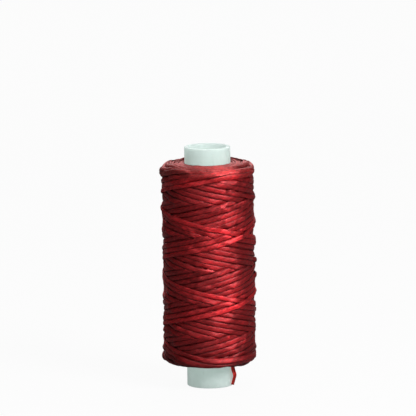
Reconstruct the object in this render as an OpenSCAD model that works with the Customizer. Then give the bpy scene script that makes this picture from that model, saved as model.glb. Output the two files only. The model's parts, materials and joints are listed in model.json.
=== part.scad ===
// Spool of flat waxed thread: a plastic tube, the thread wound on it in
// crossing layers, and the thread's starting end hanging out at the foot.
// Origin: the centre of the tube's lower end. +Z runs up the tube's axis,
// and +X points at the side where the thread's end comes out.

/* [Tube] */
// Length of the plastic tube
tube_length = 60; // [52:0.5:80]
// Outside diameter of the tube
tube_diameter = 11.4; // [10.4:0.1:12.4]
// Thickness of the tube's wall
tube_wall = 1.0; // [0.6:0.05:1.6]
// Radius that breaks the rim's edges
rim_round = 0.25; // [0.1:0.05:0.29]

/* [Winding] */
// Outside diameter of the full winding
winding_diameter = 23.1; // [21.6:0.1:25]
// Bare tube left below the winding
lower_stub = 5.9; // [5.4:0.1:8]
// Bare tube left above the winding
upper_stub = 3.9; // [2:0.1:8]
// Radius of the winding's upper shoulder
upper_shoulder = 2.6; // [1.5:0.1:2.7]
// Radius of the winding's lower shoulder
lower_shoulder = 2.0; // [1.5:0.1:2.7]
// Thickness of the close wraps next to the tube
first_wrap_depth = 0.7; // [0.5:0.05:0.9]
// Thickness of the outer crossing layers
outer_depth = 2.9; // [2.8:0.1:3]

/* [Thread] */
// Width of the flat waxed thread
thread_width = 1.2; // [0.8:0.05:1.3]
// Thickness of the flat waxed thread
thread_thickness = 0.38; // [0.25:0.01:0.4]
// Length of the starting end that is trapped under the wraps
trapped_length = 20; // [10:1:40]

/* [Hanging end] */
// Drop from the sideways pivot to the pivot that lifts the end off the tube
lift_drop = 0.9; // [0.9:0.05:1.1]
// Height of the bend in the middle of the end
bend_height = 2.55; // [2.2:0.05:2.8]
// How far the bend stands out from the hanging line
bend_out = 0.75; // [0.4:0.05:1]
// Height of the cut tip above the foot of the tube
tip_height = 0.15; // [0.1:0.05:0.4]
// Length of the stiff waxed tip
tip_length = 0.55; // [0.4:0.05:0.8]

/* [Hidden] */
$fn = 96;

// radial play between neighbouring stages of the winding
play = 0.01;
// space that keeps two links of the hanging end apart
link_gap = 0.02;
tube_r = tube_diameter / 2;
bore_r = tube_r - tube_wall;
winding_r = winding_diameter / 2;
winding_low = lower_stub;
winding_high = tube_length - upper_stub;
first_r = tube_r + first_wrap_depth;
middle_r = winding_r - outer_depth;
// the inner and middle stages share the depth between the others
inner_r = (first_r + middle_r) / 2;
// the hanging end: its centre line stands just clear of the tube
knuckle_r = thread_thickness / 2;
hang_x = tube_r + knuckle_r + 0.03;
bend_x = hang_x + bend_out;
swing_height = lower_stub - thread_width / 2 - 0.05;
lift_height = swing_height - lift_drop;

thread_red = [0.62, 0.07, 0.09];
thread_dark = [0.38, 0.03, 0.05];
thread_shadow = [0.48, 0.05, 0.07];
plastic_white = [0.80, 0.86, 0.84];

// A ring of wound thread between two radii and two heights.
module wound_ring(inside, outside, low, high) {
  translate([0, 0, low])
    difference() {
      cylinder(r = outside, h = high - low);
      translate([0, 0, -1])
        cylinder(r = inside + play, h = high - low + 2);
    }
}

// The ring of thread that turns back over a shoulder, drawn for the top end.
module shoulder_ring(round_r) {
  flat_in = middle_r + play;
  round_in = winding_r - round_r;
  rotate_extrude() {
    translate([flat_in, 0])
      square([round_in - flat_in, round_r]);
    intersection() {
      translate([round_in, 0])
        circle(r = round_r);
      translate([round_in - play, 0])
        square([round_r + play, round_r]);
    }
  }
}

// A flat piece of thread from one point to another in the XZ plane, with a
// rounded knuckle at its upper point. The lower end is cut square.
module ribbon_link(top, bottom, cut_back) {
  run = bottom - top;
  span = norm(run);
  lean = atan2(run[0], -run[1]);
  translate([top[0], 0, top[1]])
    rotate([0, -lean, 0]) {
      rotate([90, 0, 0])
        cylinder(r = knuckle_r, h = thread_width, center = true);
      translate([-knuckle_r, -thread_width / 2, -(span - cut_back)])
        cube([thread_thickness, thread_width, span - cut_back]);
    }
}

// The moulded tube, with a plain bore and softened rims.
module spool_tube() {
  color(plastic_white)
    rotate_extrude() {
      translate([bore_r + rim_round, 0])
        square([tube_wall - 2 * rim_round, tube_length]);
      translate([bore_r, rim_round])
        square([tube_wall, tube_length - 2 * rim_round]);
      for (x = [bore_r + rim_round, tube_r - rim_round])
        for (z = [rim_round, tube_length - rim_round])
          translate([x, z])
            circle(r = rim_round, $fn = 32);
    }
}

// The starting end of the thread, laid along the tube under the wraps.
module start_end() {
  color(thread_dark)
    translate([tube_r + play, -thread_width / 2, winding_low + play])
      cube([thread_thickness, thread_width, trapped_length]);
}

// The close wraps that trap the starting end, with its channel cut through.
module first_wraps() {
  channel = thread_thickness + 3 * play;
  color(thread_dark)
    difference() {
      wound_ring(tube_r, first_r, winding_low, winding_high);
      translate([0, -thread_width / 2 - play, winding_low - 1])
        cube([tube_r + channel, thread_width + 2 * play, trapped_length + 1 + 3 * play]);
    }
}

// The inner stage of the crossing layers.
module inner_winding() {
  color(thread_shadow)
    wound_ring(first_r, inner_r, winding_low, winding_high);
}

// The middle stage of the crossing layers.
module middle_winding() {
  color(thread_shadow)
    wound_ring(inner_r, middle_r, winding_low, winding_high);
}

// The outer stage of the crossing layers, between the two shoulders.
module outer_winding() {
  color(thread_red)
    wound_ring(
      middle_r, winding_r,
      winding_low + lower_shoulder + play, winding_high - upper_shoulder - play
    );
}

// The turns that reverse over the upper shoulder.
module top_turns() {
  color(thread_red)
    translate([0, 0, winding_high - upper_shoulder])
      shoulder_ring(upper_shoulder);
}

// The turns that reverse over the lower shoulder.
module bottom_turns() {
  color(thread_red)
    translate([0, 0, winding_low + lower_shoulder])
      mirror([0, 0, 1])
        shoulder_ring(lower_shoulder);
}

// The first bit of the hanging end: a round swivel with a short drop below.
module tail_neck() {
  drop_end = lift_height + knuckle_r + link_gap;
  color(thread_red)
    translate([hang_x, 0, 0]) {
      translate([0, 0, swing_height])
        rotate([0, 90, 0])
          cylinder(r = thread_width / 2, h = thread_thickness, center = true);
      translate([-knuckle_r, -thread_width / 2, drop_end])
        cube([thread_thickness, thread_width, swing_height - drop_end]);
    }
}

// The upper length of the hanging end, which leans out to the bend.
module tail_upper() {
  color(thread_red)
    ribbon_link([hang_x, lift_height], [bend_x, bend_height], knuckle_r + link_gap);
}

// The lower length of the hanging end, which leans back to the tube.
module tail_lower() {
  color(thread_red)
    ribbon_link([bend_x, bend_height], [hang_x, tip_height], tip_length + play);
}

// The stiff tip of the hanging end, cut on the slant.
module tail_tip() {
  run = [hang_x - bend_x, tip_height - bend_height];
  lean = atan2(run[0], -run[1]);
  color(thread_dark)
    translate([bend_x, 0, bend_height])
      rotate([0, -lean, 0])
        translate([0, 0, -norm(run)])
          rotate([90, 0, 90])
            linear_extrude(height = thread_thickness, center = true)
              polygon([
                [-thread_width / 2, 0],
                [thread_width / 2, tip_length * 0.4],
                [thread_width / 2, tip_length],
                [-thread_width / 2, tip_length]
              ]);
}

spool_tube();
start_end();
first_wraps();
inner_winding();
middle_winding();
outer_winding();
top_turns();
bottom_turns();
tail_neck();
tail_upper();
tail_lower();
tail_tip();
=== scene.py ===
"""Looks of a spool of flat waxed thread: the thread's crossing laps are laid one by one, oldest first,
on a map of the winding's height, so that every lap rests on the laps below it."""

import json
import math

import bpy
import numpy as np
from mathutils import Matrix, Vector


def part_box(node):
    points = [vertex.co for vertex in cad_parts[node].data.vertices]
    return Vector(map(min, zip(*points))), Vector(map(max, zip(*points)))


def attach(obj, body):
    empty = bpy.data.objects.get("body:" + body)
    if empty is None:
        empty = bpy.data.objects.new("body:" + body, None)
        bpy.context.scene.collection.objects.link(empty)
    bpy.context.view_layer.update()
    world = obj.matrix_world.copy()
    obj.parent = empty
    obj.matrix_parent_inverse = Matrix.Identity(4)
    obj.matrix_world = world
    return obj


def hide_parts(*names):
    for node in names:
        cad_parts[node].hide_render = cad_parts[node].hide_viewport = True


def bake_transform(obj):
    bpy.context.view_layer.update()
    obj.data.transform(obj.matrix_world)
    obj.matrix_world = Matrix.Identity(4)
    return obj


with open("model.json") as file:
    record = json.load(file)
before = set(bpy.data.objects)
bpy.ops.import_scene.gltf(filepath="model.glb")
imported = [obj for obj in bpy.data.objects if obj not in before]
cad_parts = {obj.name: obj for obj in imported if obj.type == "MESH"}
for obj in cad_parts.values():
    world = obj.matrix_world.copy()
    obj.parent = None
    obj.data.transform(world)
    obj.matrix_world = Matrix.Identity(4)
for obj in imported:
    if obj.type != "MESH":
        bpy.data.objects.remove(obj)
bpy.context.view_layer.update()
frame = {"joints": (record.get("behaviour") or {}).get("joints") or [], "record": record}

# Lengths are in millimetres up to the point where a mesh, a joint or a material needs metres.
MM = 0.001
FULL_TURN = 2 * math.pi
QUARTER_TURN = math.pi / 2
GOLDEN = 0.618034  # spreads repeated values evenly
X, Y, Z = range(3)
rng = np.random.default_rng(7)


# ---------------------------------------------------------------- sizes, from the frame
def extent(node, axis):
    """The lowest and the highest point of a CAD piece along an axis."""
    low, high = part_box(node)
    return low[axis] / MM, high[axis] / MM


def length_of(node, axis):
    low, high = extent(node, axis)
    return high - low


def joint_at(name):
    return np.array(next(j for j in frame["joints"] if j["name"] == name)["pos_m"]) / MM


def bore_radius():
    return next(m for m in frame["record"]["mounts"] if m["name"] == "spindle_bore")["dims"]["r_mm"]


TUBE_R = extent("spool_tube", X)[1]
TUBE_TOP = extent("spool_tube", Z)[1]
BORE_R = bore_radius()
WINDING_R = extent("outer_winding", X)[1]
FOOT, HEAD = extent("inner_winding", Z)
TOP_ROUND = length_of("top_turns", Z)
BOTTOM_ROUND = length_of("bottom_turns", Z)
THREAD_W = length_of("tail_neck", Y)
THREAD_T = length_of("tail_neck", X)
TIP_FOOT, TIP_HEAD = extent("tail_tip", Z)
SWING, LIFT, BEND = joint_at("end_swing"), joint_at("end_lift"), joint_at("end_bend")
INNER_R = TUBE_R + 0.06  # the wound thread keeps just clear of the tube

# ---------------------------------------------------------------- how the thread is wound
VIEW_AZIMUTH = 20.0  # degrees round the spool from the -Y side to the photographed side
FRONT = math.radians(VIEW_AZIMUTH - 90)  # angle of that side, measured from +X
PITCH = 16.65  # rise of a lap in one turn
SPREAD = 1.09  # how much the pressed laps are wider than the hanging end
LAP_STEP = 1.35  # spacing of neighbouring laps
LAST_DOWN = 41.1  # height of the last falling lap at the front
LAST_UP = 36.4  # height of the last rising lap at the front
TURN_TOP, TURN_BOTTOM = 54.75, 6.9  # heights between which the laps run
TOP_DRIFT, BOTTOM_DRIFT = (-1.1, 1.5), (-1.0, 1.2)  # how much further single turns go, from and to
TURN_ROUNDING = math.radians(34)  # angle over which a lap's reversal is rounded
RUN_OUT = 0.5  # angle that the newest lap runs on before it ends
ROUND_TRIPS = 20
SECTION = 0.25  # spacing of cross-sections along a lap
ANGLE_STEP = SECTION / WINDING_R
WANDER, ARC_WANDER = 0.1, 0.05  # how far a lap and an end turn stray sideways
WANDER_SECTIONS = 40  # length of these strays
ARC_ROWS = 14  # rows of older turns on each end face
ARC_REACH = (120, 170)  # degrees that such a turn runs to each side
ARC_CURVE = (0.12, 0.3)  # how fast it falls back towards its ends
ARC_STRAY, ARC_SHIFT = 0.2, 0.5  # how far its peak strays along u, and as an angle round the spool

# ---------------------------------------------------------------- how a lap lies
STACK = 0.35  # height that one pressed lap adds
PRESS = 0.04  # how far a lap sinks into what it lies on
CROWN_EDGE, CROWN_POWER = 0.4, 3.5  # how much thinner a pressed lap is at its edges, and how abruptly
PROBES = np.linspace(-0.42, 0.42, 11)  # places across a lap, in widths, that feel what lies below
PEAK_SHARE = 0.6  # a lap rests more on the highest point below than on the mean
LEVER = 0.55  # distance between a lap's two resting points, in widths
MAX_TILT = 0.5
TRACKS = 27  # lines across a lap that mark the map, each in steps finer than a section
FINER = 5
TUCK_DEPTH, TUCK_SECTIONS = 0.75, 22  # how deep a lap's ends dive, and over which length
STRETCH_TURNS = 0.9  # the most that is laid at once, in turns
LAP_OVERLAP = 12  # sections over which two such stretches are blended
PROUD = -0.3  # floor height above which the laps at the ends are squeezed
END_SQUEEZE = 0.45
STAIR = 0.5  # drop from the newest lap to the oldest beside it
BED = -1.2  # first guess of how deep the laps start
SURFACE = -0.14  # mean height of the finished winding on its outline
LEVELLING_RUNS = 7
LEVELLING_GAIN = 1.5


# ---------------------------------------------------------------- the meridian
# u is the distance along the winding's outline, equal to the height on its straight side. It goes on
# round each shoulder and across each end face to the tube.
STRAIGHT_LOW = FOOT + BOTTOM_ROUND
STRAIGHT_HIGH = HEAD - TOP_ROUND
ARC_LOW = STRAIGHT_LOW - BOTTOM_ROUND * QUARTER_TURN
ARC_HIGH = STRAIGHT_HIGH + TOP_ROUND * QUARTER_TURN
U_LOW = ARC_LOW - (WINDING_R - BOTTOM_ROUND - INNER_R)
U_HIGH = ARC_HIGH + (WINDING_R - TOP_ROUND - INNER_R)


def meridian(u):
    """Radius, height and outward normal of the outline at u."""
    top_angle = np.clip((u - STRAIGHT_HIGH) / TOP_ROUND, 0, QUARTER_TURN)
    low_angle = np.clip((STRAIGHT_LOW - u) / BOTTOM_ROUND, 0, QUARTER_TURN)
    r = (
        WINDING_R
        - TOP_ROUND * (1 - np.cos(top_angle))
        - BOTTOM_ROUND * (1 - np.cos(low_angle))
        - np.clip(u - ARC_HIGH, 0, None)
        - np.clip(ARC_LOW - u, 0, None)
    )
    z = (
        np.clip(u, STRAIGHT_LOW, STRAIGHT_HIGH)
        + TOP_ROUND * np.sin(top_angle)
        - BOTTOM_ROUND * np.sin(low_angle)
    )
    out = np.cos(top_angle) * np.cos(low_angle)
    up = np.sin(top_angle) - np.sin(low_angle)
    return r, z, out, up


# ---------------------------------------------------------------- the height map
ANGLE_CELLS = 1440
U_CELL = 0.05
U_CELLS = int((U_HIGH - U_LOW) / U_CELL) + 1
CELL_U = U_LOW + (np.arange(U_CELLS) + 0.5) * U_CELL
CELL_ANGLE = (np.arange(ANGLE_CELLS) + 0.5) * FULL_TURN / ANGLE_CELLS


def cell_of(angle, u):
    i = np.floor(angle / FULL_TURN * ANGLE_CELLS).astype(int) % ANGLE_CELLS
    j = np.clip(((u - U_LOW) / U_CELL).astype(int), 0, U_CELLS - 1)
    return i, j


def smooth(values, half):
    """A bell-shaped running mean over half samples to each side."""
    bell = np.hanning(2 * half + 3)[1:-1]
    padded = np.pad(values, half, mode="edge")
    return np.convolve(padded, bell / bell.sum(), mode="valid")


def running_max(values, half):
    padded = np.pad(values, half, mode="edge")
    return np.max([padded[i : i + len(values)] for i in range(2 * half + 1)], axis=0)


def wander(count, length, size):
    """Smooth random drift along count samples, with waves about length samples long."""
    knots = rng.normal(0, 1, int(count / length) + 4)
    at = np.linspace(1, len(knots) - 2, count)
    return size * smooth(np.interp(at, np.arange(len(knots)), knots), max(2, int(length / 3)))


def lengths_between(steps):
    """Length along a line at each of its points, from the lengths of its steps."""
    return np.concatenate([[0], np.cumsum(steps)])


# ---------------------------------------------------------------- paths of the thread
def turns_of(rise):
    """The angle in which a lap climbs this far."""
    return FULL_TURN * rise / PITCH


def turn_drift(low, high):
    """How much further than the mean each turn goes. The newest comes first."""
    steps = (np.arange(ROUND_TRIPS + 1) * GOLDEN) % 1
    return low + (high - low) * steps


def traverse_path():
    """The thread's last round trips as one line: angle round the spool, and u, at every section."""
    span = turns_of(TURN_TOP - TURN_BOTTOM)
    newest = turns_of(LAST_DOWN - TURN_TOP)
    # a lap runs on round the spool at each reversal, so that the next one lies one step beside the last
    rest_low = turns_of(2 * TURN_BOTTOM - LAST_UP - LAST_DOWN) % FULL_TURN
    rest_high = turns_of(LAST_DOWN + LAST_UP + LAP_STEP - 2 * TURN_TOP) % FULL_TURN
    trip = 2 * span + rest_low + rest_high
    tops, lows = turn_drift(*TOP_DRIFT), turn_drift(*BOTTOM_DRIFT)
    keys = []
    for k in range(ROUND_TRIPS - 1, -1, -1):
        start = newest - k * trip
        rise = start + span + rest_low
        top, low, next_top = tops[k + 1], lows[k], tops[k]
        keys += [
            (start - turns_of(top), TURN_TOP + top),
            (start + span + turns_of(low), TURN_BOTTOM - low),
            (rise - turns_of(low), TURN_BOTTOM - low),
            (rise + span + turns_of(next_top), TURN_TOP + next_top),
        ]
    keys = np.array(sorted(keys))
    angle = np.arange(keys[0, 0], keys[-1, 0] + rest_high + RUN_OUT, ANGLE_STEP)
    u = np.interp(angle, keys[:, 0], keys[:, 1])
    u = smooth(u, int(TURN_ROUNDING / ANGLE_STEP))
    u += wander(len(u), WANDER_SECTIONS, WANDER)
    return angle, u


def end_arcs(first_u, last_u, toward):
    """Older turns that reverse on an end face and shoulder: arcs that peak at u and fall back at both
    ends. Each row has two of them, on opposite sides of the spool."""
    arcs = []
    for row in range(ARC_ROWS):
        share = (row + 0.5) / ARC_ROWS
        for half in range(2):
            peak = first_u + (last_u - first_u) * share + rng.uniform(-ARC_STRAY, ARC_STRAY)
            if half == 0:
                middle = rng.uniform(0, FULL_TURN)
            else:
                middle += math.pi + rng.uniform(-ARC_SHIFT, ARC_SHIFT)
            reach = math.radians(rng.uniform(*ARC_REACH))
            angle = np.arange(-reach, reach, ANGLE_STEP)
            u = peak - toward * rng.uniform(*ARC_CURVE) * angle**2
            u += wander(len(u), WANDER_SECTIONS, ARC_WANDER)
            arcs.append((angle + middle, u))
    return arcs


TRAVERSE = traverse_path()
END_ARCS = {
    "top": end_arcs(U_HIGH - 0.5, STRAIGHT_HIGH + 0.9, 1),
    "bottom": end_arcs(U_LOW + 0.5, STRAIGHT_LOW - 0.7, -1),
}


# ---------------------------------------------------------------- laying a path
def to_left(angle, u):
    """Change of angle and of u for one millimetre to a lap's left."""
    r = meridian(u)[0]
    along = np.gradient(angle) * r
    rise = np.gradient(u)
    length = np.hypot(along, rise)
    return -rise / length / r, along / length


def tucked_ends(count):
    """Extra sinking at a path's ends, so that they go under."""
    sink = np.zeros(count)
    fade = 0.5 - 0.5 * np.cos(np.linspace(math.pi, 0, TUCK_SECTIONS))
    sink[:TUCK_SECTIONS] -= TUCK_DEPTH * fade
    sink[-TUCK_SECTIONS:] -= TUCK_DEPTH * fade[::-1]
    return sink


def support(under):
    """The height on which one half of a lap rests."""
    felt = under.mean(0) * (1 - PEAK_SHARE) + under.max(0) * PEAK_SHARE
    return smooth(running_max(felt, 1), 4)


def lay(height, angle, u, sink):
    """Rests a path on the height map, adds its thickness to the map, and returns its floor and tilt."""
    side_angle, side_u = to_left(angle, u)
    under = []
    for share in PROBES:
        w = share * THREAD_W
        under.append(height[cell_of(angle + side_angle * w, u + side_u * w)])
    under = np.array(under)
    half = len(PROBES) // 2
    left, right = support(under[:half]), support(under[half + 1 :])
    tilt = np.clip((right - left) / (LEVER * THREAD_W), -MAX_TILT, MAX_TILT)
    floor = (left + right) / 2 - PRESS + sink
    # on the shoulders and end faces a lap that would stand proud is squeezed down
    at_end = np.clip(np.maximum(STRAIGHT_LOW + 1 - u, u - STRAIGHT_HIGH + 1), 0, 1)
    floor -= at_end * END_SQUEEZE * np.clip(floor - PROUD, 0, None)
    index = np.arange(len(angle))
    at = np.linspace(0, len(angle) - 1, len(angle) * FINER)
    f_angle, f_u, f_side, f_side_u, f_floor, f_tilt = (
        np.interp(at, index, values) for values in (angle, u, side_angle, side_u, floor, tilt)
    )
    for share in np.linspace(-0.5, 0.5, TRACKS):
        w = share * THREAD_W
        crown = 1 - CROWN_EDGE * abs(2 * share) ** CROWN_POWER
        top = f_floor + f_tilt * w + (STACK + PRESS) * crown
        np.maximum.at(height, cell_of(f_angle + f_side * w, f_u + f_side_u * w), top)
    return floor, tilt


def lay_in_laps(height, angle, u, sink):
    """Lays a long path in stretches shorter than a turn, so that it rests on its own earlier turns."""
    stretch = int(FULL_TURN / (angle[1] - angle[0]) * STRETCH_TURNS)
    floor, tilt = np.zeros(len(angle)), np.zeros(len(angle))
    for start in range(0, len(angle), stretch):
        stop = min(len(angle), start + stretch)
        first = max(0, start - LAP_OVERLAP)
        some, lean = lay(height, angle[first:stop], u[first:stop], sink[first:stop])
        keep = start - first
        mix = np.linspace(0, 1, keep)
        floor[first:start] = floor[first:start] * (1 - mix) + some[:keep] * mix
        tilt[first:start] = tilt[first:start] * (1 - mix) + lean[:keep] * mix
        floor[start:stop], tilt[start:stop] = some[keep:], lean[keep:]
    return floor, tilt


def stepped_floor():
    """The winding's height before the laps drawn here: it climbs like a stair towards the newest lap."""
    back = ROUND_TRIPS * LAP_STEP
    turn, u = np.meshgrid(CELL_ANGLE, CELL_U, indexing="ij")
    down = ((LAST_DOWN - back - turn / FULL_TURN * PITCH - u) / PITCH) % 1
    up = ((u - LAST_UP - back - turn / FULL_TURN * PITCH) / PITCH) % 1
    fade = 2  # the stair ends softly at the shoulders
    inside = np.clip(np.minimum(u - STRAIGHT_LOW, STRAIGHT_HIGH - u) / fade, 0, 1)
    return STAIR * ((1 - down) + (1 - up) - 1) * inside


def wind(base):
    """Lays the end arcs and the traverse on a base, and returns the map and every laid path."""
    height = base.copy()
    laid = []
    for group, arcs in END_ARCS.items():
        for angle, u in arcs:
            laid.append((group, angle, u, *lay(height, angle, u, tucked_ends(len(angle)))))
    angle, u = TRAVERSE
    laid.append(("traverse", angle, u, *lay_in_laps(height, angle, u, tucked_ends(len(angle)))))
    return height, laid


def box_blur(grid, half, axis, mode):
    """A running mean over half cells to each side along one axis."""
    width = [(0, 0), (0, 0)]
    width[axis] = (half + 1, half)
    total = np.cumsum(np.pad(grid, width, mode=mode), axis)
    count = grid.shape[axis]
    near, far = np.arange(count), np.arange(count) + 2 * half + 1
    return (np.take(total, far, axis) - np.take(total, near, axis)) / (2 * half + 1)


def blur_round(grid, half):
    return box_blur(grid, half, 0, "wrap")


def blur_along(grid, half):
    return box_blur(grid, half, 1, "edge")


# half widths, in cells, of the blurs that lose the single laps, and of those that lose the bands too
LAPS_ROUND, LAPS_ALONG = 80, 9
BANDS_ROUND, BANDS_ALONG = 200, 55


def broad_shape(grid):
    """The map without its single laps, and on the straight side without its bands either."""
    fine = blur_round(blur_round(grid, LAPS_ROUND), LAPS_ROUND)
    coarse = blur_along(blur_along(blur_round(fine, BANDS_ROUND), BANDS_ALONG), BANDS_ALONG)
    fine = blur_along(blur_along(fine, LAPS_ALONG), LAPS_ALONG)
    inside = np.clip(np.minimum(CELL_U - STRAIGHT_LOW - 1.5, STRAIGHT_HIGH - 2.5 - CELL_U) / 3, 0, 1)
    return fine * (1 - inside) + coarse * inside


def wound_thread():
    """The bed and the laid paths. Each run of winding shows where the laps pile up, and the next one
    starts that much lower there."""
    base = stepped_floor() + BED
    for _ in range(LEVELLING_RUNS):
        height, _ = wind(base)
        base = base - LEVELLING_GAIN * broad_shape(height - SURFACE)
    return base, wind(base)[1]


# ---------------------------------------------------------------- meshes
def new_object(name, verts, faces, uvs=None):
    """A smooth mesh from numpy arrays, in metres. uvs maps a layer's name to a pair per face corner."""
    mesh = bpy.data.meshes.new(name)
    mesh.vertices.add(len(verts))
    mesh.vertices.foreach_set("co", np.asarray(verts, np.float32).ravel())
    corners = np.asarray(faces, np.int32)
    per_face = corners.shape[1]
    mesh.loops.add(corners.size)
    mesh.loops.foreach_set("vertex_index", corners.ravel())
    mesh.polygons.add(len(corners))
    mesh.polygons.foreach_set("loop_start", np.arange(0, corners.size, per_face, dtype=np.int32))
    mesh.update(calc_edges=True)
    mesh.polygons.foreach_set("use_smooth", np.full(len(corners), True))
    for layer, pairs in (uvs or {}).items():
        mesh.uv_layers.new(name=layer).data.foreach_set("uv", np.asarray(pairs, np.float32).ravel())
    mesh.validate()
    obj = bpy.data.objects.new(name, mesh)
    bpy.context.scene.collection.objects.link(obj)
    return obj


def ring_object(name, radius, z, angle):
    """A closed ring about Z: one closed outline of radii and heights for each angle, or one for all."""
    steps, n = len(angle), radius.shape[-1]
    radius, z = np.broadcast_to(radius, (steps, n)), np.broadcast_to(z, (steps, n))
    verts = np.stack([radius * np.cos(angle)[:, None], radius * np.sin(angle)[:, None], z], axis=-1)
    i, j = np.arange(steps)[:, None], np.arange(n)[None, :]
    next_i, next_j = (i + 1) % steps, (j + 1) % n
    faces = np.stack([i * n + j, next_i * n + j, next_i * n + next_j, i * n + next_j], axis=-1)
    return new_object(name, verts.reshape(-1, 3) * MM, faces.reshape(-1, 4))


def ribbon_outline():
    """The thread's cross-section, a flat ribbon with a crowned top: across from -1 to 1, up from 0 to 1."""
    top = [(w, 1 - 0.5 * abs(w) ** 2.8) for w in np.linspace(1, -1, 9)]
    return np.array(top + [(-0.88, 0.05), (0, 0), (0.88, 0.05)])


OUTLINE = ribbon_outline()
CROWN_V = 4 / len(OUTLINE)  # where the middle of the top lies round the outline
PLY_RELIEF = 0.009  # height of the plies in the mesh
PLY_RELIEF_LENGTH = 2.1  # length of one wave of them
PLY_SLANT = 0.55
WIDTH_WANDER, THICKNESS_WANDER = (30, 0.045), (24, 0.05)  # length in sections, and size


def ply_relief(along, across, on_top):
    """Low slanting waves on the top of the thread, from its loose twist."""
    phase = along[:, None] / PLY_RELIEF_LENGTH + across[None, :] * PLY_SLANT
    return PLY_RELIEF * np.cos(FULL_TURN * phase) * on_top[None, :]


def ribbon_mesh(angle, u, floor, tilt, along):
    """Vertices of a lap, as sections by outline points, in metres."""
    side_angle, side_u = to_left(angle, u)
    width = THREAD_W * SPREAD / 2 * (1 + wander(len(angle), *WIDTH_WANDER))
    thick = THREAD_T * (1 + wander(len(angle), *THICKNESS_WANDER))
    across, up = OUTLINE.T
    w = width[:, None] * across
    h = floor[:, None] + tilt[:, None] * w + thick[:, None] * up + ply_relief(along, across, up > 0.5)
    a = angle[:, None] + side_angle[:, None] * w + FRONT
    r, z, out, rise = meridian(u[:, None] + side_u[:, None] * w)
    radius = r + out * h
    return np.stack([radius * np.cos(a), radius * np.sin(a), z + rise * h], axis=-1) * MM


def strip_faces(sections, points):
    """Quads round a strip of closed sections."""
    row = np.arange(sections - 1)[:, None] * points
    a = np.arange(points)[None, :]
    b = (a + 1) % points
    return np.stack([row + a, row + b, row + points + b, row + points + a], axis=-1).reshape(-1, 4)


def corner_pairs(first_u, last_u, first_v, last_v):
    """Texture coordinates for the four corners of each quad of strip_faces."""
    u0, u1 = first_u[:, None], last_u[:, None]
    corners = np.broadcast_arrays(u0, first_v, u0, last_v, u1, last_v, u1, first_v)
    return np.stack(corners, axis=-1).reshape(-1, 2)


ROW_MARGIN = 0.06  # free edge of a row in the bake texture


def strip_uvs(sections, points, along, rows, first_row, per_row):
    """Bake and thread coordinates of a strip. For baking it is laid out in rows of per_row sections."""
    i = np.arange(sections - 1)
    row, column = first_row + i // per_row, i % per_row
    edge = np.arange(points + 1) / points
    inset = ROW_MARGIN + (1 - 2 * ROW_MARGIN) * edge[None, :]
    v = (row[:, None] + inset) / rows
    bake = corner_pairs(column / per_row, (column + 1) / per_row, v[:, :-1], v[:, 1:])
    thread = corner_pairs(along[:-1], along[1:], edge[None, :-1], edge[None, 1:])
    return bake, thread


def cap_faces(first, points, flip):
    """Quads that close a strip's end section, whose first vertex is given."""
    quads = []
    for k in range(1, points - 2, 2):
        quad = [first, first + k, first + k + 1, first + min(k + 2, points - 1)]
        quads.append(quad[::-1] if flip else quad)
    return quads


def thread_piece(name, strips, mat):
    """One object from several closed ribbons. A strip is a pair: vertices by section, and length along."""
    points = len(OUTLINE)
    total = sum(len(v) for v, _ in strips)
    rows = max(4, int(math.sqrt(total * SECTION / (2 * THREAD_W))))
    per_row = int(math.ceil(total / rows)) + 1
    rows += len(strips)
    verts, faces, bakes, threads, caps = [], [], [], [], []
    base, row = 0, 0
    for v, along in strips:
        n = len(v)
        verts.append(v.reshape(-1, 3))
        faces.append(strip_faces(n, points) + base)
        bake, thread = strip_uvs(n, points, along, rows, row, per_row)
        bakes.append(bake)
        threads.append(thread)
        caps += cap_faces(base, points, True) + cap_faces(base + (n - 1) * points, points, False)
        row += int(math.ceil((n - 1) / per_row))
        base += n * points
    cap_corners = np.ones((4 * len(caps), 2))
    uvs = {
        "OFBake": np.concatenate(bakes + [cap_corners * 0.001]),
        "Thread": np.concatenate(threads + [cap_corners * 0.5]),
    }
    obj = new_object(name, np.concatenate(verts), np.concatenate(faces + [np.array(caps)]), uvs)
    obj.data.materials.append(mat)
    return obj


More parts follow.
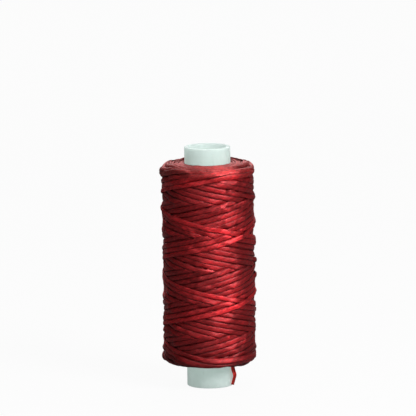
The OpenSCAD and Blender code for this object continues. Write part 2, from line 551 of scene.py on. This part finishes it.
# ---------------------------------------------------------------- materials
class Look:
    """A material under construction, with short ways to add nodes to it."""

    def __init__(self, name):
        self.material = bpy.data.materials.new(name)
        self.material.use_nodes = True
        self.nodes = self.material.node_tree.nodes
        self.links = self.material.node_tree.links
        self.shader = self.nodes["Principled BSDF"]

    def feed(self, node, inputs):
        """Gives a node's inputs numbers, colours or vectors, or links them to other nodes."""
        for name, value in inputs.items():
            socket = node.inputs[name]
            if isinstance(value, (int, float)):
                socket.default_value = value
            elif isinstance(value, tuple):
                socket.default_value = (*value, 1)[: len(socket.default_value)]
            else:
                self.links.new(value, socket)

    def add(self, kind, inputs, **settings):
        """Adds a node and returns its outputs."""
        node = self.nodes.new("ShaderNode" + kind)
        for name, value in settings.items():
            setattr(node, name, value)
        self.feed(node, inputs)
        return node.outputs

    def calculated(self, operation, a, b=0.0):
        return self.add("Math", {0: a, 1: b}, operation=operation)[0]

    def noise(self, vector, stretch, detail, rough=0.55):
        """Noise in a space that is stretched along its axes."""
        place = self.add("Mapping", {"Vector": vector, "Scale": stretch})[0]
        inputs = {"Vector": place, "Scale": 1.0, "Detail": detail, "Roughness": rough}
        return self.add("TexNoise", inputs)["Fac"]

    def scaled(self, value, start, end):
        """Maps the range start, a pair, to the range end, and stays inside it."""
        low, high = start
        to_low, to_high = end
        inputs = {"Value": value, "From Min": low, "From Max": high, "To Min": to_low, "To Max": to_high}
        return self.add("MapRange", inputs)[0]

    def mixed(self, share, a, b, kind="MIX"):
        inputs = {"Factor": share, "A": a, "B": b}
        return self.add("Mix", inputs, data_type="RGBA", blend_type=kind)["Result"]

    def shaded(self, value, low, dark, high, light):
        """A colour between two, by a value between low and high."""
        node = self.nodes.new("ShaderNodeValToRGB")
        for element, at, colour in zip(node.color_ramp.elements, (low, high), (dark, light)):
            element.position = at
            element.color = (*colour, 1)
        self.links.new(value, node.inputs["Fac"])
        return node.outputs["Color"]

    def bump(self, height, strength, distance_mm, below=None):
        """A surface normal with relief, on top of another one where that is given."""
        inputs = {"Height": height, "Strength": strength, "Distance": distance_mm * MM}
        if below is not None:
            inputs["Normal"] = below
        return self.add("Bump", inputs)["Normal"]

    def height(self):
        """Height above the spool's foot, in metres."""
        place = self.add("TexCoord", {})["Object"]
        return self.add("SeparateXYZ", {0: place})["Z"]


# colours of the thread, between its filaments and on them
RED = (0.36, 0.008, 0.012), (0.74, 0.024, 0.032)
# painted shade: the core under the laps is the same thread painted far darker, as the shade in the gaps
# between laps
CORE_PAINTED_SHADE_RED = (0.06, 0.002, 0.004), (0.12, 0.004, 0.006)
# painted light: the hanging end and its tip are lighter copies of the thread, where the winding shades them
END_PAINTED_LIGHT_RED = (0.75, 0.020, 0.016), (1.0, 0.05, 0.035)
TIP_PAINTED_LIGHT_RED = (0.5, 0.015, 0.012), (0.8, 0.04, 0.03)
PLY_LENGTH = 1.6  # length of one turn of the thread's loose twist
PLY_TURNS = 9.0  # angle of the twist from one edge of the thread round to the same edge
PALE_TIPS_AND_SHEEN_HEAD = 3.2  # height over which pale frayed fibre tips and a painted highlight lie on the upper shoulder
# pale pink of the frayed fibre tips, which also carries a painted highlight on the upper shoulder
PALE_FIBRE_AND_SHEEN = (0.74, 0.22, 0.19)
FOOT_PAINTED_SHADE = 8.0  # height over which the lowest laps are painted darker: painted shade, as under light from above
YOUNG_PAINTED_LIGHT = (7900, 8700)  # lengths along the thread over which it is painted brighter: painted light on the newest laps, which lie highest
THREAD_SHEEN = {
    "Metallic": 0.82,
    "Specular Tint": (1.0, 0.7, 0.7),
    "Specular IOR Level": 0.9,
    "Anisotropic": 0.75,
    "Anisotropic Rotation": 0.25,
    "Coat Weight": 0.5,
    "Coat Roughness": 0.46,
    "IOR": 1.46,
}


def waxed_thread(name, deep, bright, edge=0.42, foot=0.5):
    """Flat waxed thread: fine filaments twisted loosely, wax that dulls it in patches, painted shade at its
    edges and towards the foot of the winding, painted light on the newest laps, and pale fibre tips with a
    painted highlight near the head.
    edge and foot are its tones at the thread's edges and at the foot of the winding: painted shade below 1,
    painted light above 1."""
    look = Look(name)
    uv = look.add("UVMap", {}, uv_map="Thread")[0]
    split = look.add("SeparateXYZ", {0: uv})
    length, around = split["X"], split["Y"]
    height = look.height()
    filaments = look.noise(uv, (1.1, 34, 1), 2.0)
    strands = look.noise(uv, (0.35, 6.5, 1), 2.0)
    patches = look.noise(uv, (0.30, 0.9, 1), 3.0)
    drift = look.noise(uv, (0.012, 0.0, 1), 1.0)
    speckle = look.noise(uv, (1.6, 22, 1), 3.0)
    phase = look.calculated("MULTIPLY", length, FULL_TURN / PLY_LENGTH)
    twist = look.calculated("MULTIPLY", around, PLY_TURNS)
    ply = look.calculated("SINE", look.calculated("ADD", phase, twist))
    from_crown = look.calculated("ABSOLUTE", look.calculated("SUBTRACT", around, CROWN_V))
    tone = look.scaled(ply, (-1, 1), (0.90, 1.06))
    for other in (
        look.scaled(strands, (0.36, 0.64), (0.76, 1.16)),
        look.scaled(patches, (0.3, 0.7), (0.84, 1.12)),
        look.scaled(drift, (0.3, 0.7), (0.84, 1.14)),
        look.scaled(length, YOUNG_PAINTED_LIGHT, (0.95, 1.45)),  # painted light: the newest laps, which lie highest, are painted the brightest
        # painted shade: darker towards the thread's edges, in the gaps between neighbouring laps
        look.scaled(from_crown, (0.20, 0.33), (1.0, edge)),
        # painted shade: darker towards the foot of the winding, as under light from above
        look.scaled(height, (FOOT * MM, (FOOT + FOOT_PAINTED_SHADE) * MM), (foot, 1.0)),
    ):
        tone = look.calculated("MULTIPLY", tone, other)
    fibre = look.mixed(1.0, look.shaded(filaments, 0.30, deep, 0.70, bright), tone, "MULTIPLY")
    # pale frayed fibre tips near the head, together with a painted highlight there
    at_head = look.scaled(height, ((HEAD - PALE_TIPS_AND_SHEEN_HEAD) * MM, HEAD * MM), (0.0, 0.5))
    pale_tips_and_sheen = look.calculated("MULTIPLY", at_head, look.scaled(speckle, (0.44, 0.62), (0.1, 1.0)))
    relief = look.bump(filaments, 0.6, 0.06, look.bump(strands, 0.5, 0.18))
    look.feed(
        look.shader,
        {
            "Base Color": look.mixed(pale_tips_and_sheen, fibre, PALE_FIBRE_AND_SHEEN),
            "Roughness": look.scaled(patches, (0.3, 0.7), (0.50, 0.62)),
            "Normal": look.bump(ply, 0.3, 0.04, relief),
            "Tangent": look.add("Tangent", {}, direction_type="UV_MAP", uv_map="Thread")[0],
            **THREAD_SHEEN,
        },
    )
    return look.material


TUBE_PAINTED_GLOW = (0.66, 0.57)  # painted light: the tube's own glow, standing in for light through its milky wall, at its foot and at its head
MILK_DARK, MILK_LIGHT = (0.37, 0.44, 0.415), (0.42, 0.49, 0.47)


def natural_plastic():
    """Milky natural plastic with faint drawing lines along the tube, a few scuffs, soft scattering, and a
    painted glow that stands in for light through its wall.
    """
    look = Look("natural_plastic")
    place = look.add("TexCoord", {})["Object"]
    lines = look.noise(place, (2200, 2200, 30), 2.0)
    cloud = look.noise(place, (160, 160, 160), 3.0)
    scuffs = look.noise(place, (500, 500, 2400), 4.0, 0.7)
    colour = look.shaded(cloud, 0.3, MILK_DARK, 0.7, MILK_LIGHT)
    look.feed(
        look.shader,
        {
            "Base Color": colour,
            "Roughness": look.scaled(scuffs, (0, 1), (0.3, 0.52)),
            "Normal": look.bump(scuffs, 0.12, 0.02, look.bump(lines, 0.25, 0.03)),
            "IOR": 1.49,
            # painted light: the tube glows in its own colour, more at its foot than at its head
            "Emission Color": colour,
            "Emission Strength": look.scaled(look.height(), (0, TUBE_TOP * MM), TUBE_PAINTED_GLOW),
            "Subsurface Weight": 1.0,
            "Subsurface Radius": (1.0, 1.1, 1.05),
            "Subsurface Scale": 0.005,
        },
    )
    return look.material


# ---------------------------------------------------------------- pieces
TRAVERSE_PIECES = 6
TEXTURE_SHIFT = 1000  # how far apart in the thread's texture the end turns may start


def winding_pieces(red, dark):
    """The end turns and the crossing laps, these in pieces by age, over a core painted dark as the shade
    between the laps.
    """
    base, laid = wound_thread()
    strips = {"top": [], "bottom": [], "traverse": []}
    for group, angle, u, floor, tilt in laid:
        r = meridian(u)[0]
        along = lengths_between(np.hypot(np.diff(angle) * r[1:], np.diff(u)))
        if group != "traverse":
            along = along + TEXTURE_SHIFT * rng.uniform()
        strips[group].append((ribbon_mesh(angle, u, floor, tilt, along), along))
    made = []
    for group in ("top", "bottom"):
        obj = thread_piece(f"{group}_end_turns", strips[group], red)
        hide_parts(f"{group}_turns")
        made.append(obj)
    verts, along = strips["traverse"][0]
    cuts = np.linspace(0, len(verts) - 1, TRAVERSE_PIECES + 1).astype(int)
    for k in range(TRAVERSE_PIECES):
        part = slice(cuts[k], cuts[k + 1] + 1)
        lap = thread_piece(f"crossing_laps_{k + 1}", [(verts[part], along[part])], red)
        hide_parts("outer_winding")
        made.append(lap)
    made.append(winding_core(base, dark))
    for obj in made:
        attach(obj, "spool")


def winding_core(base, dark):
    """A closed ring under the laps, whose surface follows the map that the first lap was laid on."""
    steps, stride = 240, 8
    angle = (np.arange(steps) + 0.5) * FULL_TURN / steps + FRONT
    r, z, out, up = meridian(CELL_U[None, ::stride])
    h = base[:: ANGLE_CELLS // steps, ::stride] - PRESS
    radius = np.maximum(r + out * h, INNER_R)
    z = z + up * h
    # two more points beside the tube close the outline
    radius = np.concatenate([radius, np.full((steps, 2), INNER_R)], axis=1)
    z = np.concatenate([z, np.tile([z[0, -1], z[0, 0]], (steps, 1))], axis=1)
    obj = ring_object("winding_core", radius, z, angle)
    # painted shade: the core is the thread's colour painted far darker
    obj.data.materials.append(dark)
    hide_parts("start_end", "first_wraps", "inner_winding", "middle_winding")
    return obj


def tube(plastic):
    """The tube, with softly rounded rims."""
    rim, rim_points, side_points, steps = 0.25, 7, 40, 160
    corners = [
        (TUBE_R - rim, rim, -90),
        (TUBE_R - rim, TUBE_TOP - rim, 0),
        (BORE_R + rim, TUBE_TOP - rim, 90),
        (BORE_R + rim, rim, 180),
    ]
    outline = []
    for r, z, start in corners:
        for t in np.radians(np.linspace(start, start + 90, rim_points)):
            outline.append((r + rim * math.cos(t), z + rim * math.sin(t)))
    side = [(TUBE_R, z) for z in np.linspace(rim, TUBE_TOP - rim, side_points)[1:-1]]
    outline[rim_points:rim_points] = side
    radius, z = np.array(outline).T
    obj = ring_object("plastic_tube", radius, z, np.arange(steps) * FULL_TURN / steps)
    obj.data.materials.append(plastic)
    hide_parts("spool_tube")
    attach(obj, "spool")


# ---------------------------------------------------------------- the hanging end
TWIST_TOP, TWIST_TIP = math.radians(34), math.radians(12)  # how far the flat side turns to the front
TWIST_ROOM = 0.12  # how far the twist keeps the hanging end's root off the tube
BEND_ROUNDING = 13  # sections over which the bend is rounded to each side
TIP_TAPER = 0.14  # how far the tip's cut slants to each side
TAIL_SECTIONS = 120  # of the hanging end
TAIL_STEP = 0.05  # spacing of its cross-sections
TAIL_ALONG, TIP_ALONG = 10.0, 20.0  # where the hanging end and its tip start in the thread's texture
OVERLAP = 0.03  # how far neighbouring stretches of the hanging end run past their cut


def tail_strip(path, along_start, taper=0.0):
    """Ribbon sections along points in the XZ plane. The flat side faces out and is twisted to the front."""
    step = np.gradient(path, axis=0)
    step /= np.linalg.norm(step, axis=1)[:, None]
    out = np.stack([-step[:, 1], step[:, 0]], axis=-1)
    out *= np.sign(out[:, 0])[:, None]
    along = along_start + lengths_between(np.linalg.norm(np.diff(path, axis=0), axis=1))
    across, up = OUTLINE[:, 0], OUTLINE[:, 1] - 0.5
    h = THREAD_T * up[None, :] + ply_relief(along, across, up > 0)
    w = -THREAD_W / 2 * across[None, :]
    twist = np.interp(path[:, None, 1], [0, FOOT], [TWIST_TIP, TWIST_TOP])
    turned_h = h * np.cos(twist) + w * np.sin(twist)
    x = path[:, None, 0] + out[:, None, 0] * turned_h
    y = w * np.cos(twist) - h * np.sin(twist)
    z = path[:, None, 1] + out[:, None, 1] * turned_h
    z = z + taper * np.linspace(0, 1, len(path))[:, None] ** 3 * across[None, :]
    return np.stack([x, y, z], axis=-1) * MM, along


def tail_line():
    """The hanging end's centre line in the XZ plane, from under the wraps to the cut tip."""
    keys = np.array(
        [
            (LIFT[X] - 0.01, FOOT + 0.9),  # hidden under the wraps
            (SWING[X], SWING[Z]),
            (LIFT[X] + 0.03, LIFT[Z]),
            (BEND[X] - 0.16, BEND[Z] + 0.28),  # the bend is softer than the CAD's corner
            (BEND[X] - 0.12, BEND[Z]),
            (BEND[X] - 0.20, BEND[Z] - 0.3),
            (LIFT[X], TIP_FOOT + 0.12),
        ]
    )
    length = lengths_between(np.linalg.norm(np.diff(keys, axis=0), axis=1))
    at = np.linspace(0, length[-1], TAIL_SECTIONS)
    x, z = np.interp(at, length, keys[:, 0]), np.interp(at, length, keys[:, 1])
    return np.stack([smooth(x, BEND_ROUNDING) + TWIST_ROOM * z / FOOT, z], axis=-1)


def tail_pieces(red, stiff):
    """The hanging end, split where each stretch lies wholly in one link, the stretches running a little
    past each cut.
    """
    line = tail_line()
    z = line[:, 1]
    neck_cut = (SWING[Z] - THREAD_W / 2 + LIFT[Z] + THREAD_T / 2) / 2
    upper_cut = (LIFT[Z] + BEND[Z]) / 2
    tip_cut = TIP_HEAD - 0.1
    root_foot, upper_top = neck_cut - OVERLAP, neck_cut + OVERLAP
    upper_foot, lower_top = upper_cut - OVERLAP, upper_cut + OVERLAP
    # name, lowest and highest point, links, hinge, half the height of the blend, CAD piece
    stretches = [
        ("end_root", root_foot, np.inf, ("spool", "end_neck"), SWING, 0.3, "tail_neck"),
        ("end_upper", upper_foot, upper_top, ("end_neck", "end_upper"), LIFT, 0.2, "tail_upper"),
        ("end_lower", tip_cut, lower_top, ("end_upper", "end_lower"), BEND, 0.35, "tail_lower"),
    ]
    for name, foot, top, links, hinge, reach, node in stretches:
        inside = (z >= foot) & (z <= top)
        strip = tail_strip(line[inside], TAIL_ALONG + np.argmax(inside) * TAIL_STEP)
        obj = thread_piece(name, [strip], red)
        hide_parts(node)
        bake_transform(obj)
    tip = tail_strip(line[z <= tip_cut + 0.04], TIP_ALONG, TIP_TAPER)
    obj = thread_piece("end_tip", [tip], stiff)
    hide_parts("tail_tip")
    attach(obj, "end_lower")


# ---------------------------------------------------------------- stage
FLOOR_HALF = 8.0  # half of the floor's width, in metres
FLOOR_GREY = 0.2
FLOOR_GLOW, FLOOR_WHITE = 0.82, 1.15  # share and strength of plain white in what the camera sees
WORLD_LIGHT, WORLD_WHITE = 0.05, 1.0  # how strongly the surround lights things, and how white it looks


def floor():
    """A pale floor that looks nearly white and keeps a faint shadow."""
    look = Look("studio_floor")
    look.feed(
        look.shader,
        {"Base Color": (FLOOR_GREY,) * 3, "Roughness": 0.7, "Specular IOR Level": 0.0},
    )
    seen = look.add("LightPath", {})["Is Camera Ray"]
    white = look.add("Emission", {"Strength": FLOOR_WHITE})[0]
    share = look.scaled(seen, (0, 1), (0, FLOOR_GLOW))
    both = look.add("MixShader", {0: share, 1: look.shader.outputs[0], 2: white})[0]
    look.feed(look.nodes["Material Output"], {"Surface": both})
    corners = np.array([(-1, -1, 0), (1, -1, 0), (1, 1, 0), (-1, 1, 0)]) * FLOOR_HALF
    obj = new_object("studio_floor", corners, [(0, 1, 2, 3)])
    obj.data.materials.append(look.material)


def world_light():
    """A plain white surround that lights the spool less brightly than it looks."""
    world = bpy.data.worlds.new("studio")
    bpy.context.scene.world = world
    world.use_nodes = True
    nodes, links = world.node_tree.nodes, world.node_tree.links
    path = nodes.new("ShaderNodeLightPath")
    strength = nodes.new("ShaderNodeMapRange")
    strength.inputs["To Min"].default_value = WORLD_LIGHT
    strength.inputs["To Max"].default_value = WORLD_WHITE
    links.new(path.outputs["Is Camera Ray"], strength.inputs["Value"])
    nodes["Background"].inputs["Color"].default_value = (1, 1, 1, 1)
    links.new(strength.outputs[0], nodes["Background"].inputs["Strength"])


def away(azimuth, elevation):
    """The direction from the spool to a place, by its azimuth and height angle in degrees."""
    a, e = math.radians(azimuth), math.radians(elevation)
    return Vector((math.sin(a) * math.cos(e), -math.cos(a) * math.cos(e), math.sin(e)))


def area_light(name, azimuth, elevation, distance, size, power):
    """A soft square lamp that faces the spool. Distance and size are in metres."""
    back = away(azimuth, elevation)
    data = bpy.data.lights.new(name, "AREA")
    data.shape = "SQUARE"
    data.size = size
    data.energy = power
    obj = bpy.data.objects.new(name, data)
    obj.location = Vector((0, 0, TUBE_TOP / 2 * MM)) + back * distance
    obj.rotation_mode = "QUATERNION"
    obj.rotation_quaternion = back.to_track_quat("Z", "Y")
    bpy.context.scene.collection.objects.link(obj)


def lights():
    area_light("key", VIEW_AZIMUTH + 44, 32, distance=0.5, size=0.2, power=2.15)
    area_light("fill", VIEW_AZIMUTH - 10, 12, distance=0.9, size=0.6, power=0.9)
    area_light("front_top", VIEW_AZIMUTH - 10, 72, distance=0.9, size=0.9, power=2.8)
    area_light("back_top", VIEW_AZIMUTH + 180, 38, distance=0.9, size=0.8, power=3.3)


def camera():
    """A long lens, a little above the spool, with the photograph's slight roll. Lengths are in metres."""
    distance, height = 1.274, 0.253  # from the spool's axis, and above its foot
    aim = Vector((0, 0, 0.0445))
    roll = math.radians(0.75)
    view_width = 0.1031  # width of the picture at the spool
    data = bpy.data.cameras.new("camera")
    obj = bpy.data.objects.new("camera", data)
    obj.location = away(VIEW_AZIMUTH, 0) * distance + Vector((0, 0, height))
    back = (obj.location - aim).normalized()
    turn = back.to_track_quat("Z", "Y").to_matrix() @ Matrix.Rotation(-roll, 3, "Z")
    obj.rotation_mode = "QUATERNION"
    obj.rotation_quaternion = turn.to_quaternion()
    data.lens = data.sensor_width * (obj.location - aim).length / view_width
    data.clip_start, data.clip_end = 0.01, 50
    bpy.context.scene.collection.objects.link(obj)
    bpy.context.scene.camera = obj


def main():
    red = waxed_thread("waxed_thread", *RED)
    # painted shade: the same thread painted far darker for the core
    dark = waxed_thread("waxed_thread_deep_painted_shade", *CORE_PAINTED_SHADE_RED)
    # painted light: lighter copies of the thread for the hanging end and its tip, brightened near the foot
    end = waxed_thread("waxed_thread_end_painted_light", *END_PAINTED_LIGHT_RED, edge=1.0, foot=1.3)
    stiff = waxed_thread("wax_hardened_tip", *TIP_PAINTED_LIGHT_RED, edge=0.9, foot=1.2)
    winding_pieces(red, dark)
    tube(natural_plastic())
    tail_pieces(end, stiff)
    floor()
    world_light()
    lights()
    camera()
    bpy.context.scene.view_settings.view_transform = "Standard"


main()
